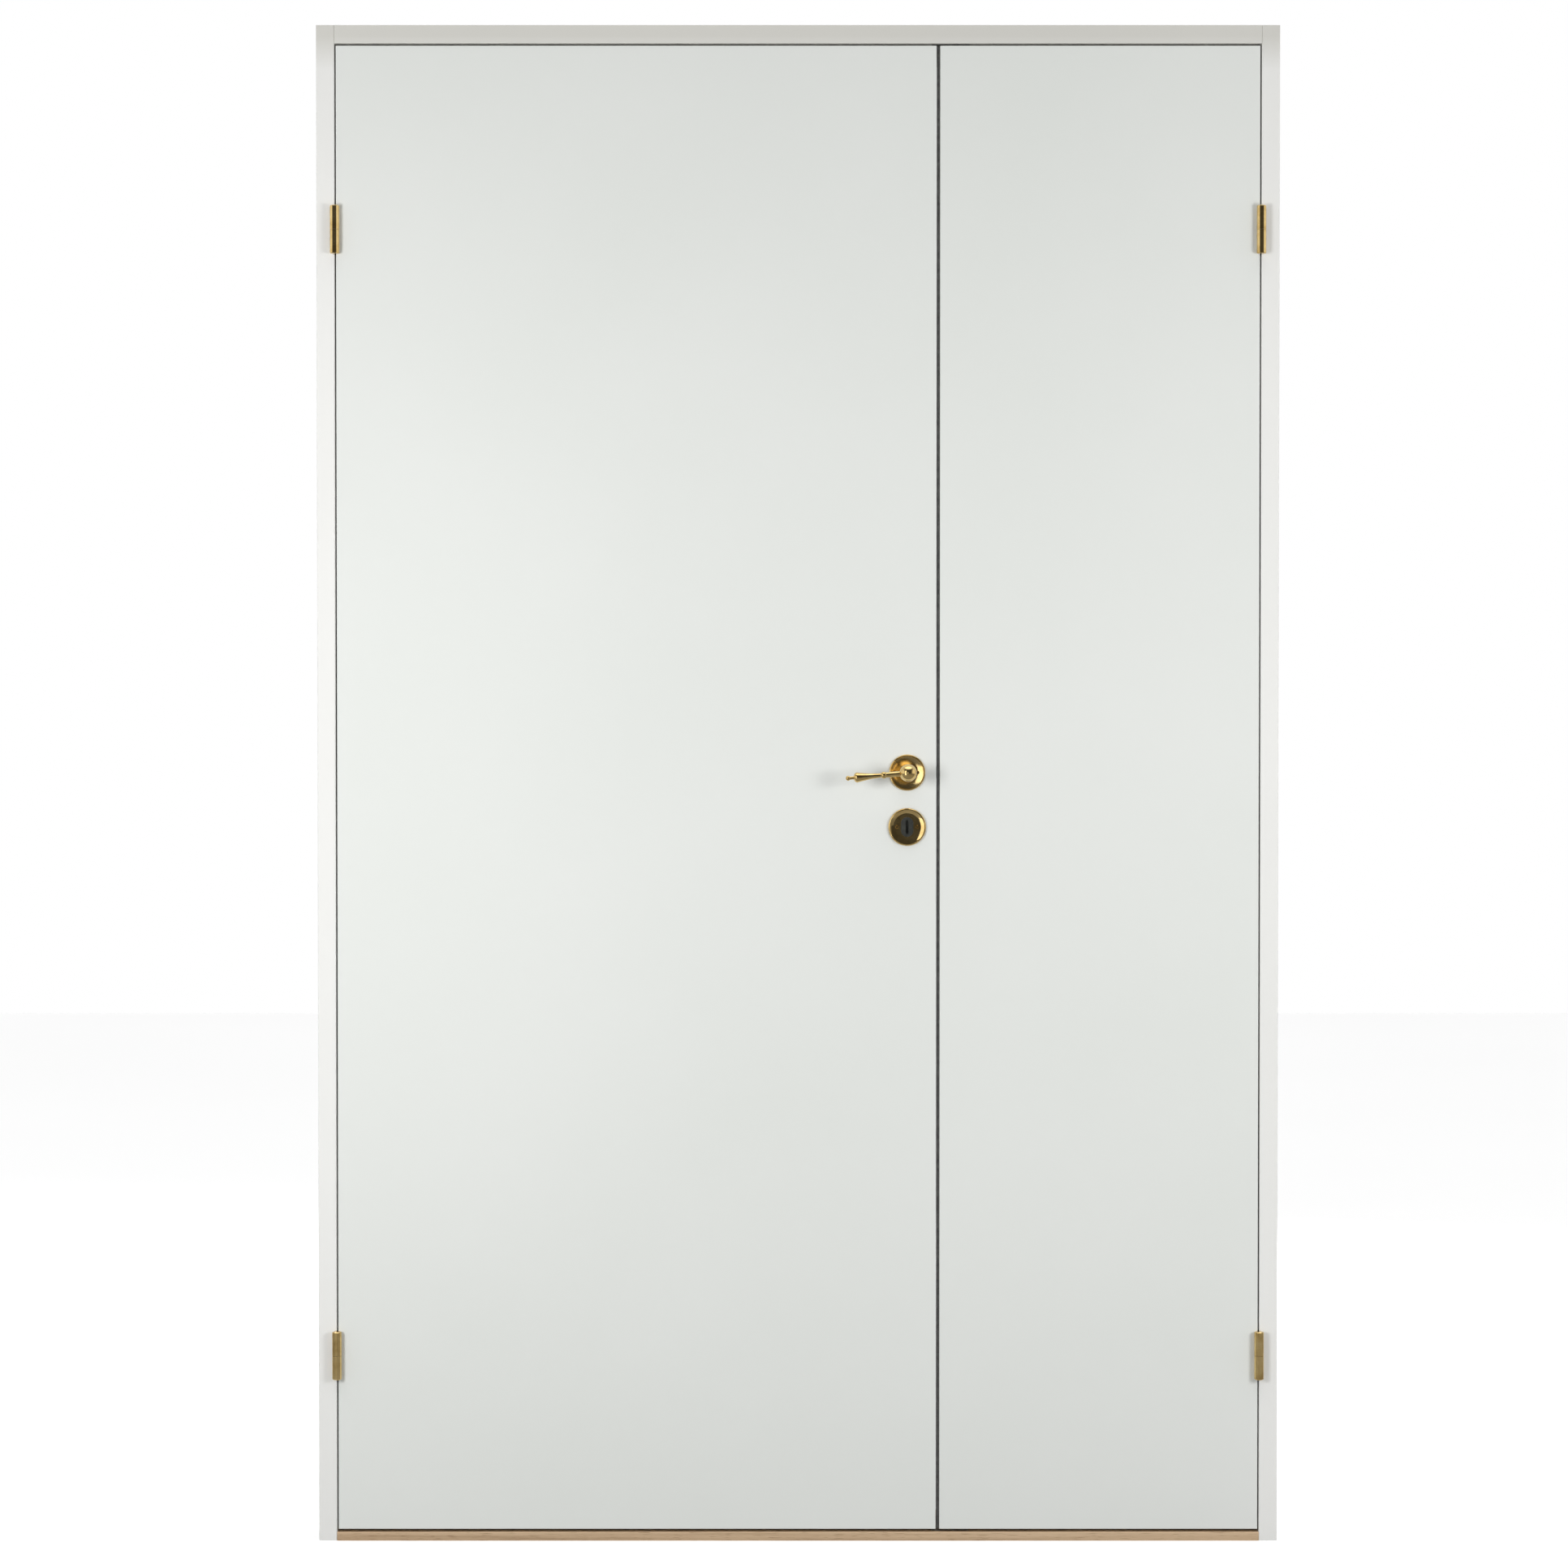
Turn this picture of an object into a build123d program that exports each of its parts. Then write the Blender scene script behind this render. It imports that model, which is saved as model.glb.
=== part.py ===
from build123d import *
import os
from math import cos, radians, sin, sqrt

# An interior double door in its frame, in millimetres.
# X runs to the right, Y runs back through the wall, Z runs up.
# The origin is on the floor, under the middle of the threshold.
# The wide active leaf hangs on the left, the narrow passive leaf on the right.
# Both are flush with the front of the frame and open to the front.

# Driving dimensions of the frame
frame_width = 1325
frame_height = 2090
frame_depth = 92
jamb_face = 25
stop_height = 17
threshold_rise = 12
threshold_stop_rise = 13
threshold_bevel = 9
member_edge_radius = 1.5

# Driving dimensions of the leaves and the gaps around them
active_width = 826
leaf_thickness = 40
skin_thickness = 3
stile_width = 44
rail_height = 60
leaf_edge_radius = 1.2
side_gap = 2
head_gap = 3
floor_gap = 4
meeting_gap = 5
seal_space = 4

# Rubber seals
seal_groove_width = 3
seal_groove_depth = 6
seal_lip_width = 7
seal_touch_gap = 0.3
blade_width = 4
blade_setback = 4
blade_touch_gap = 0.5

# Lift-off hinges
top_hinge_drop = 281
bottom_hinge_rise = 258
hinge_height = 66
knuckle_radius = 6.5
knuckle_stand_off = 0.3
knuckle_split = 0.4
knuckle_chamfer = 0.8
pin_radius = 3.5
pin_end_cover = 4
hinge_plate_thickness = 2.5
hinge_plate_width = 30
hinge_plate_corner = 6
hinge_screw_setback = 19
hinge_screw_pitch = 22

# Screws, each with a radius, a head radius and a length
hinge_screw = (1.75, 3.5, 19)
corner_screw = (2, 4, 60)
small_screw = (1.5, 3, 9)
plate_screw = (1.3, 2.4, 11)
plate_screw_dome = 1.3
screw_slot_width = 0.8
screw_slot_depth = 0.7

# Holes in the jambs for the screws that hold the frame in the wall
fixing_radius = 4
fixing_end_setbacks = (160, 760)

# Lock and handle
handle_height = 1063
handle_backset = 40
key_drop = 75
case_depth = 66
case_thickness = 15
case_wall = 1.5
case_rise = 22
case_fall = 96
forend_thickness = 3
forend_width = 20
forend_margin = 10
spindle_size = 8
follower_radius = 9
follower_bearing_radius = 8
follower_arm_half_width = 3
follower_arm_reach = 18.5
follower_arm_thickness = 6
latch_thickness = 12
latch_height = 16
latch_reach = 12
latch_inside = 16.5
latch_tail_thickness = 2.2
latch_lug_low = 12
latch_lug_high = 20
latch_lug_thickness = 5
spring_strip = 0.8
spring_width = 8
spring_drop = 10
dead_bolt_thickness = 10
dead_bolt_height = 20
dead_bolt_rise = 16
dead_bolt_length = 61.5
dead_bolt_throw = 18
dead_bolt_recess = 1
guide_post_radius = 2.5
guide_post_setback = 27.5
talon_width = 12
talon_depth = 5
ward_thickness = 1.5
ward_room = 5

# Lever, roses and keyhole plates
sleeve_radius = 9
sleeve_inset = 3
sleeve_bead = 1.1
sleeve_length = 12
hub_neck_radius = 7.6
hub_neck_cove = 0.8
hub_ball_radius = 12
hub_ball_out = 44
socket_depth = 33
arm_droop = 5
arm_neck_radius = 3.7
arm_bead_radius = 4.7
arm_bead_at = 34
arm_bead_length = 7
arm_waist_radius = 2.9
arm_grip_radius = 7
arm_grip_hollow = 0.7
arm_grip_end = 70
arm_shoulder = 4.5
arm_tip_neck_radius = 2.2
arm_tip_radius = 3.4
arm_tip_at = 82.5
grub_screw_radius = 1.5
grub_screw_out = 18
rose_radius = 25
rose_edge = 1.8
rose_rim = 2.6
rose_crest = 3.1
key_crest = 3.9
rose_floor_radius = 11.5
key_floor_radius = 19
rose_floor = 2.4
rose_dish_hollow = 0.1
key_plate_radius = 26
plate_screw_offset = 14
liner_width = 17
liner_height = 27
liner_proud = 0.5
keyhole_width = 3.7
keyhole_height = 18.6
key_passage_width = 6
key_passage_height = 24

# Strike plate and flush bolts on the meeting edge of the passive leaf
strike_thickness = 2.5
strike_margin = 5
strike_room = 1
strike_pocket_depth = 13
flush_plate_length = 180
flush_plate_thickness = 3
flush_plate_width = 20
flush_plate_setback = 165
flush_rod_radius = 5
flush_rod_setback = 12
flush_rod_tail = 20
flush_throw = 15
flush_end_recess = 1
thumb_width = 7.6
thumb_length = 16
thumb_recess = 0.5
thumb_groove = 0.7
keep_length = 52
keep_width = 24
keep_thickness = 2
keep_screw_offset = 18
keep_hole_room = 0.8
keep_socket_depth = 19

# Clearances
fit = 0.1
slide_fit = 0.25
turn_fit = 0.3

# Faces and centre lines worked out from the dimensions above
front = -frame_depth / 2
back = frame_depth / 2
rebate_x = frame_width / 2 - jamb_face
stop_x = rebate_x - stop_height
leaf_back = front + leaf_thickness
leaf_mid_y = front + leaf_thickness / 2
stop_y = leaf_back + seal_space
head_rebate_z = frame_height - jamb_face
head_stop_z = head_rebate_z - stop_height
threshold_top = threshold_rise + threshold_stop_rise
leaf_bottom = threshold_rise + floor_gap
leaf_top = head_rebate_z - head_gap
leaf_mid_z = (leaf_bottom + leaf_top) / 2
hinge_edge_x = rebate_x - side_gap
active_edge_x = active_width - hinge_edge_x
passive_edge_x = active_edge_x + meeting_gap
core_front = front + skin_thickness
core_back = leaf_back - skin_thickness
hinge_axis_x = rebate_x - side_gap / 2
hinge_axis_y = front - knuckle_radius - knuckle_stand_off
hinge_levels = {"top": frame_height - top_hinge_drop, "bottom": bottom_hinge_rise}
fixing_levels = [
    level for setback in fixing_end_setbacks for level in (setback, frame_height - setback)
]
leaf_sides = {"active": -1, "passive": 1}
leaf_spans = {
    "active": (-hinge_edge_x, active_edge_x),
    "passive": (passive_edge_x, hinge_edge_x),
}

handle_x = active_edge_x - handle_backset
key_z = handle_height - key_drop
case_front_x = active_edge_x - forend_thickness
case_rear_x = case_front_x - case_depth
case_y = (leaf_mid_y - case_thickness / 2, leaf_mid_y + case_thickness / 2)
case_z = (handle_height - case_fall, handle_height + case_rise)
cover_y = case_y[0] + case_wall
case_floor_y = case_y[1] - case_wall
forend_z = (case_z[0] - forend_margin, case_z[1] + forend_margin)
forend_y = (leaf_mid_y - forend_width / 2, leaf_mid_y + forend_width / 2)
latch_y = (leaf_mid_y - latch_thickness / 2, leaf_mid_y + latch_thickness / 2)
latch_z = (handle_height - latch_height / 2, handle_height + latch_height / 2)
latch_tip_x = active_edge_x + latch_reach
latch_rear_x = active_edge_x - latch_inside
lug_face_x = handle_x - follower_arm_half_width - turn_fit
bolt_y = (leaf_mid_y - dead_bolt_thickness / 2, leaf_mid_y + dead_bolt_thickness / 2)
bolt_z = (key_z + dead_bolt_rise, key_z + dead_bolt_rise + dead_bolt_height)
bolt_tip_x = active_edge_x - dead_bolt_recess
bolt_tail_x = bolt_tip_x - dead_bolt_length
guide_post_x = case_front_x - guide_post_setback
guide_post_z = (bolt_z[0] + bolt_z[1]) / 2
strike_z = (forend_z[0] - strike_margin, forend_z[1] + strike_margin)
strike_back_x = passive_edge_x + strike_thickness
pocket_back_x = strike_back_x + strike_pocket_depth
flush_back_x = passive_edge_x + flush_plate_thickness
flush_rod_x = flush_back_x + flush_rod_setback
flush_plate_z = leaf_top - flush_plate_setback
flush_rod_top = leaf_top - flush_end_recess
blade_y = core_front + blade_setback
leaf_middle = Plane.XZ.offset(-leaf_mid_y)
leaf_waist = Plane.XY.offset(leaf_mid_z)

os.makedirs("parts", exist_ok=True)


def save(part, name):
    """Label a finished piece and write it to its own file."""
    part.label = name
    export_step(part, f"parts/{name}.step")


def block(x_span, y_span, z_span, mode=Mode.ADD):
    """A rectangular block between two limits along each axis."""
    spans = (x_span, y_span, z_span)
    middle = [sum(span) / 2 for span in spans]
    size = [abs(span[1] - span[0]) for span in spans]
    with Locations(tuple(middle)):
        Box(*size, mode=mode)


def widened(span, room):
    """A span with room added at both ends."""
    return (span[0] - room, span[1] + room)


def bore(point, direction, radius, depth, mode=Mode.SUBTRACT):
    """A round hole, or a rod, from a point along a direction."""
    with Locations(Plane(origin=point, z_dir=direction)):
        Cylinder(radius, depth, align=(Align.CENTER, Align.CENTER, Align.MIN), mode=mode)


def pilot_holes(places, screw):
    """Holes in timber for countersunk screws whose heads face out along each place's Z."""
    radius, head_radius, length = screw
    with Locations(*places):
        CounterSinkHole(radius + fit, head_radius + fit, length + fit, counter_sink_angle=90)


def countersunk_screws(places, screw):
    """Slotted screws, flush with the origin of each place and pointing along its minus Z."""
    radius, head_radius, length = screw
    down = (Align.CENTER, Align.CENTER, Align.MAX)
    with Locations(*places):
        Cylinder(radius, length, align=down)
        Cone(radius, head_radius, head_radius - radius, align=down)
        Box(2 * head_radius, screw_slot_width, screw_slot_depth, align=down, mode=Mode.SUBTRACT)


# Each carrier of a hinge plate has a face, and a way that leads into its timber
hinge_carriers = {"leaf": (hinge_edge_x, -1), "frame": (rebate_x, 1)}


# The frame: rebated jambs, head and threshold
def corner_screw_places(side):
    """Where the screws go through one jamb into the ends of the head and the threshold."""
    front_y = (front + stop_y) / 2
    rear_y = (stop_y + back) / 2
    points = (
        (front_y, (head_rebate_z + frame_height) / 2),
        (rear_y, (head_stop_z + frame_height) / 2),
        (front_y, threshold_rise / 2),
        (rear_y, threshold_top / 2),
    )
    outer_x = side * frame_width / 2
    return [Plane(origin=(outer_x, y, z), z_dir=(side, 0, 0)) for y, z in points]


def hinge_screw_places(side, carrier, z_mid):
    """Three screws in a hinge plate, driven into the leaf's edge or into the jamb."""
    face_x, inward = hinge_carriers[carrier]
    offsets = (-hinge_screw_pitch, 0, hinge_screw_pitch)
    y = front + hinge_screw_setback
    return [
        Plane(origin=(side * face_x, y, z_mid + dz), z_dir=(-side * inward, 0, 0))
        for dz in offsets
    ]


def hinge_plate(side, carrier, z_mid, grow=0, mode=Mode.ADD):
    """A hinge plate let into its carrier, or, grown by a clearance, the mortise for it."""
    face_x, inward = hinge_carriers[carrier]
    middle = (side * face_x, front + hinge_plate_width / 2, z_mid)
    with BuildSketch(Plane(origin=middle, x_dir=(0, 1, 0), z_dir=(side * inward, 0, 0))) as outline:
        Rectangle(hinge_plate_width + 2 * grow, hinge_height + 2 * grow)
        fillet(outline.vertices().sort_by(Axis.X)[-2:], hinge_plate_corner)
    extrude(outline.sketch, amount=hinge_plate_thickness, mode=mode)


def hinge_mortises(side, carrier):
    """The recesses and screw holes for both hinges of one side."""
    for z_mid in hinge_levels.values():
        hinge_plate(side, carrier, z_mid, grow=fit, mode=Mode.SUBTRACT)
        pilot_holes(hinge_screw_places(side, carrier, z_mid), hinge_screw)


seal_mid_x = (rebate_x + stop_x) / 2
seal_mid_z = (head_rebate_z + head_stop_z) / 2

with BuildPart() as left_jamb:
    with BuildSketch():
        with BuildLine():
            Polyline(
                (-frame_width / 2, front),
                (-rebate_x, front),
                (-rebate_x, stop_y),
                (-stop_x, stop_y),
                (-stop_x, back),
                (-frame_width / 2, back),
                close=True,
            )
        make_face()
    extrude(amount=frame_height)
    uprights = left_jamb.edges().filter_by(Axis.Z)
    rebate_corner = uprights.sort_by_distance((-rebate_x, stop_y, frame_height / 2))[0]
    fillet([edge for edge in uprights if edge is not rebate_corner], member_edge_radius)
    groove_x = (-seal_mid_x - seal_groove_width / 2, -seal_mid_x + seal_groove_width / 2)
    block(groove_x, (stop_y, stop_y + seal_groove_depth), (leaf_bottom, leaf_top), Mode.SUBTRACT)
    hinge_mortises(-1, "frame")
    pilot_holes(corner_screw_places(-1), corner_screw)
    for level in fixing_levels:
        bore((-frame_width / 2, leaf_mid_y, level), (1, 0, 0), fixing_radius, jamb_face)
save(left_jamb.part, "left_jamb")

with BuildPart() as right_jamb:
    mirror(left_jamb.part, about=Plane.YZ)
save(right_jamb.part, "right_jamb")


def keep_places(z, up):
    """The two screws of a flush bolt's keep."""
    return [
        Plane(origin=(flush_rod_x + dx, leaf_mid_y, z), z_dir=(0, 0, up))
        for dx in (-keep_screw_offset, keep_screw_offset)
    ]


def cross_member(front_z, rear_z):
    """A head or threshold between the jambs, its ends stepped to the jambs' rebates."""
    block((-rebate_x, rebate_x), (front, stop_y), front_z)
    block((-stop_x, stop_x), (stop_y, back), rear_z)


def keep_recess(z, up, socket_depth):
    """The seat of a keep plate, with its screw holes and the socket for the bolt."""
    half_length = keep_length / 2 + fit
    half_width = keep_width / 2 + fit
    block(
        (flush_rod_x - half_length, flush_rod_x + half_length),
        (leaf_mid_y - half_width, leaf_mid_y + half_width),
        (z, z - up * keep_thickness),
        Mode.SUBTRACT,
    )
    bore((flush_rod_x, leaf_mid_y, z), (0, 0, -up), flush_rod_radius + keep_hole_room, socket_depth)
    pilot_holes(keep_places(z, up), small_screw)


with BuildPart() as frame_head:
    cross_member((head_rebate_z, frame_height), (head_stop_z, frame_height))
    nose = frame_head.edges().filter_by(Axis.X).sort_by_distance((0, front, head_rebate_z))[0]
    lip = frame_head.edges().filter_by(Axis.X).sort_by_distance((0, back, head_stop_z))[0]
    stop_lip = frame_head.edges().filter_by(Axis.X).sort_by_distance((0, stop_y, head_stop_z))[0]
    fillet([nose, lip, stop_lip], member_edge_radius)
    groove_z = (seal_mid_z - seal_groove_width / 2, seal_mid_z + seal_groove_width / 2)
    block((-stop_x, stop_x), (stop_y, stop_y + seal_groove_depth), groove_z, Mode.SUBTRACT)
    keep_recess(head_rebate_z, -1, keep_socket_depth)
    pilot_holes(corner_screw_places(-1) + corner_screw_places(1), corner_screw)
save(frame_head.part, "frame_head")

with BuildPart() as threshold:
    cross_member((0, threshold_rise), (0, threshold_top))
    nose = threshold.edges().filter_by(Axis.X).sort_by_distance((0, front, threshold_rise))[0]
    stop_lip = threshold.edges().filter_by(Axis.X).sort_by_distance((0, stop_y, threshold_top))[0]
    fillet([nose, stop_lip], member_edge_radius)
    ramp = threshold.edges().filter_by(Axis.X).sort_by_distance((0, back, threshold_top))[0]
    chamfer(ramp, threshold_bevel)
    keep_recess(threshold_rise, 1, threshold_rise)
    pilot_holes(corner_screw_places(-1) + corner_screw_places(1), corner_screw)
save(threshold.part, "threshold")


def seal_profile(across):
    """A seal's section: a root for the groove and a rounded lip, lying in front of its origin."""
    lip_height = seal_space - seal_touch_gap
    with BuildSketch(across) as section:
        with Locations((0, -seal_groove_depth / 2 + fit / 2)):
            Rectangle(seal_groove_width - 2 * fit, seal_groove_depth - fit)
        with BuildLine():
            flat = Line((-seal_lip_width / 2, 0), (seal_lip_width / 2, 0))
            ThreePointArc(flat @ 1, (0, lip_height), flat @ 0)
        make_face()
    return section.sketch


with BuildPart() as left_stop_seal:
    upright = Plane(origin=(-seal_mid_x, stop_y, leaf_bottom), x_dir=(-1, 0, 0), z_dir=(0, 0, 1))
    extrude(seal_profile(upright), amount=leaf_top - leaf_bottom)
save(left_stop_seal.part, "left_stop_seal")

with BuildPart() as right_stop_seal:
    mirror(left_stop_seal.part, about=Plane.YZ)
save(right_stop_seal.part, "right_stop_seal")

with BuildPart() as head_stop_seal:
    level = Plane(origin=(-stop_x, stop_y, seal_mid_z), x_dir=(0, 0, 1), z_dir=(1, 0, 0))
    extrude(seal_profile(level), amount=2 * stop_x)
save(head_stop_seal.part, "head_stop_seal")

with BuildPart() as frame_corner_screws:
    countersunk_screws(corner_screw_places(-1) + corner_screw_places(1), corner_screw)
save(frame_corner_screws.part, "frame_corner_screws")


def keep_plate(z, up):
    """The plate that a flush bolt shoots through, set flush in the head or the threshold."""
    with BuildPart() as keep:
        with BuildSketch(Plane(origin=(flush_rod_x, leaf_mid_y, z), z_dir=(0, 0, -up))):
            RectangleRounded(keep_length, keep_width, keep_thickness)
            Circle(flush_rod_radius + keep_hole_room, mode=Mode.SUBTRACT)
        extrude(amount=keep_thickness)
        pilot_holes(keep_places(z, up), small_screw)
    return keep.part


save(keep_plate(head_rebate_z, -1), "head_bolt_keep")
save(keep_plate(threshold_rise, 1), "threshold_bolt_keep")

with BuildPart() as bolt_keep_screws:
    countersunk_screws(keep_places(head_rebate_z, -1), small_screw)
    countersunk_screws(keep_places(threshold_rise, 1), small_screw)
save(bolt_keep_screws.part, "bolt_keep_screws")


# The lift-off hinges: the leaf's knuckle sits over the frame's knuckle, on a fixed pin
def hinge_half(side, carrier, z_mid):
    """One half of a hinge: a knuckle, and a plate of the hinge's full height behind it."""
    up = 1 if carrier == "leaf" else -1
    knuckle_length = (hinge_height - knuckle_split) / 2
    inner_z = z_mid + up * knuckle_split / 2
    outer_z = inner_z + up * knuckle_length
    face_x, inward = hinge_carriers[carrier]
    axis_x = side * hinge_axis_x
    with BuildPart() as half:
        bore((axis_x, hinge_axis_y, inner_z), (0, 0, up), knuckle_radius, knuckle_length, Mode.ADD)
        rim = half.edges().sort_by_distance((axis_x, hinge_axis_y, outer_z))[0]
        chamfer(rim, knuckle_chamfer)
        tongue_x = (side * face_x, side * (face_x + inward * hinge_plate_thickness))
        block(tongue_x, (hinge_axis_y, front), (inner_z, outer_z - up * knuckle_chamfer))
        hinge_plate(side, carrier, z_mid)
        bore_radius = pin_radius + fit if carrier == "leaf" else pin_radius
        bore_depth = knuckle_length - pin_end_cover + knuckle_split
        bore((axis_x, hinge_axis_y, inner_z), (0, 0, up), bore_radius, bore_depth)
        pilot_holes(hinge_screw_places(side, carrier, z_mid), hinge_screw)
    return half.part


for leaf_name, leaf_side in leaf_sides.items():
    for level_name, hinge_z in hinge_levels.items():
        for carrier_name in hinge_carriers:
            piece = hinge_half(leaf_side, carrier_name, hinge_z)
            save(piece, f"{leaf_name}_{level_name}_hinge_{carrier_name}_half")

with BuildPart() as hinge_pins:
    pin_half_length = hinge_height / 2 - pin_end_cover
    for leaf_side in leaf_sides.values():
        for hinge_z in hinge_levels.values():
            foot = (leaf_side * hinge_axis_x, hinge_axis_y, hinge_z - pin_half_length)
            bore(foot, (0, 0, 1), pin_radius, 2 * pin_half_length, Mode.ADD)
save(hinge_pins.part, "hinge_pins")

with BuildPart() as frame_hinge_screws:
    for leaf_side in leaf_sides.values():
        for hinge_z in hinge_levels.values():
            countersunk_screws(hinge_screw_places(leaf_side, "frame", hinge_z), hinge_screw)
save(frame_hinge_screws.part, "frame_hinge_screws")

for leaf_name, leaf_side in leaf_sides.items():
    with BuildPart() as leaf_hinge_screws:
        for hinge_z in hinge_levels.values():
            countersunk_screws(hinge_screw_places(leaf_side, "leaf", hinge_z), hinge_screw)
    save(leaf_hinge_screws.part, f"{leaf_name}_hinge_screws")


# The leaves: two skins glued to a timber frame around a light core
def key_slot(width, height):
    """An upright slot right through the leaf at the keyhole."""
    with BuildSketch(Plane.XZ.offset(frame_depth)) as slot:
        with Locations((handle_x, key_z)):
            SlotOverall(height, width, rotation=90)
    extrude(slot.sketch, amount=-2 * frame_depth, mode=Mode.SUBTRACT)


def plate_screw_places(centre_z):
    """The screws left and right of the middle of a rose or keyhole plate, on both faces."""
    faces = ((front - rose_floor, -1), (leaf_back + rose_floor, 1))
    return [
        Plane(origin=(handle_x + dx, y, centre_z), z_dir=(0, out, 0))
        for y, out in faces
        for dx in (-plate_screw_offset, plate_screw_offset)
    ]


def plate_screw_holes(centre_z):
    """Plain holes for the screws of a rose or keyhole plate."""
    radius, _, length = plate_screw
    with Locations(*plate_screw_places(centre_z)):
        Hole(radius + fit, depth=length + rose_floor + fit)


def lock_bores():
    """The holes that the handle, the key and the plates' screws need through the leaf."""
    start = (handle_x, front - frame_depth, handle_height)
    bore(start, (0, 1, 0), sleeve_radius + turn_fit, 3 * frame_depth)
    key_slot(key_passage_width, key_passage_height)
    plate_screw_holes(handle_height)
    plate_screw_holes(key_z)


def forend_places(x, z_span, inset, out):
    """The two screws near the ends of a forend or strike plate."""
    levels = (z_span[0] + inset, z_span[1] - inset)
    return [Plane(origin=(x, leaf_mid_y, z), z_dir=(out, 0, 0)) for z in levels]


forend_screw_places = forend_places(active_edge_x, forend_z, forend_margin / 2, 1)
strike_screw_places = forend_places(passive_edge_x, strike_z, forend_margin / 2 + strike_margin / 2, -1)


strike_openings = (
    (widened(latch_y, strike_room), widened(latch_z, strike_room)),
    (widened(bolt_y, strike_room), widened(bolt_z, strike_room)),
)


def lock_mortise():
    """The pocket for the lock, with the step for its forend and the bores across it."""
    block(
        (case_rear_x - fit, case_front_x),
        (case_y[0] - fit, case_y[1] + fit),
        (case_z[0] - fit, case_z[1] + fit),
        Mode.SUBTRACT,
    )
    block(
        (case_front_x, active_edge_x),
        (forend_y[0] - fit, forend_y[1] + fit),
        (forend_z[0] - fit, forend_z[1] + fit),
        Mode.SUBTRACT,
    )
    lock_bores()
    pilot_holes(forend_screw_places, small_screw)


def strike_mortise():
    """The step for the strike plate and the pockets for the latch and the lock bolt."""
    block(
        (passive_edge_x, strike_back_x),
        (forend_y[0] - fit, forend_y[1] + fit),
        (strike_z[0] - fit, strike_z[1] + fit),
        Mode.SUBTRACT,
    )
    for y_span, z_span in strike_openings:
        block((passive_edge_x, pocket_back_x), y_span, z_span, Mode.SUBTRACT)
    pilot_holes(strike_screw_places, small_screw)


def flush_mortise(z_mid, toward_end, leaf_end):
    """The seat of a flush bolt in the meeting edge, with the bore that its rod runs in."""
    half_length = flush_plate_length / 2 + fit
    half_width = flush_plate_width / 2 + fit
    block(
        (passive_edge_x, flush_back_x),
        (leaf_mid_y - half_width, leaf_mid_y + half_width),
        (z_mid - half_length, z_mid + half_length),
        Mode.SUBTRACT,
    )
    rod_room = flush_rod_radius + slide_fit
    tail_z = z_mid - toward_end * (flush_rod_tail + fit)
    block(
        (flush_back_x, flush_rod_x),
        (leaf_mid_y - rod_room, leaf_mid_y + rod_room),
        (tail_z, z_mid + toward_end * (flush_rod_tail + flush_throw)),
        Mode.SUBTRACT,
    )
    bore_depth = abs(leaf_end - tail_z)
    bore((flush_rod_x, leaf_mid_y, tail_z), (0, 0, toward_end), rod_room, bore_depth)
    pilot_holes(flush_screw_places(z_mid), small_screw)


def flush_screw_places(z_mid):
    """The two screws of one flush bolt's plate."""
    reach = flush_plate_length / 2 - flush_plate_width / 2
    return [
        Plane(origin=(passive_edge_x, leaf_mid_y, z_mid + dz), z_dir=(-1, 0, 0))
        for dz in (-reach, reach)
    ]


flush_bolts = (
    (flush_plate_z, 1, leaf_top),
    (2 * leaf_mid_z - flush_plate_z, -1, leaf_bottom),
)


def blade_groove():
    """The groove for the seal that closes the gap between the leaves."""
    groove_y = (blade_y - seal_groove_width / 2, blade_y + seal_groove_width / 2)
    groove_x = (passive_edge_x, passive_edge_x + seal_groove_depth)
    block(groove_x, groove_y, (leaf_bottom, leaf_top), Mode.SUBTRACT)


for leaf_name, leaf_side in leaf_sides.items():
    leaf_x = leaf_spans[leaf_name]
    leaf_z = (leaf_bottom, leaf_top)
    core_x = (leaf_x[0] + stile_width, leaf_x[1] - stile_width)
    core_z = (leaf_bottom + rail_height, leaf_top - rail_height)
    core_y = (core_front, core_back)

    with BuildPart() as front_skin:
        block(leaf_x, (front, core_front), leaf_z)
        fillet(front_skin.faces().sort_by(Axis.Y)[0].edges(), leaf_edge_radius)
        hinge_mortises(leaf_side, "leaf")
        if leaf_name == "active":
            lock_bores()
    save(front_skin.part, f"{leaf_name}_front_skin")

    with BuildPart() as back_skin:
        block(leaf_x, (core_back, leaf_back), leaf_z)
        fillet(back_skin.faces().sort_by(Axis.Y)[-1].edges(), leaf_edge_radius)
        if leaf_name == "active":
            lock_bores()
    save(back_skin.part, f"{leaf_name}_back_skin")

    with BuildPart() as leaf_frame:
        block(leaf_x, core_y, leaf_z)
        block(core_x, core_y, core_z, Mode.SUBTRACT)
        hinge_mortises(leaf_side, "leaf")
        if leaf_name == "active":
            lock_mortise()
        else:
            strike_mortise()
            blade_groove()
            for bolt_place in flush_bolts:
                flush_mortise(*bolt_place)
    save(leaf_frame.part, f"{leaf_name}_leaf_frame")

    with BuildPart() as core:
        block(core_x, core_y, core_z)
        if leaf_name == "active":
            lock_mortise()
    save(core.part, f"{leaf_name}_core")

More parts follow.
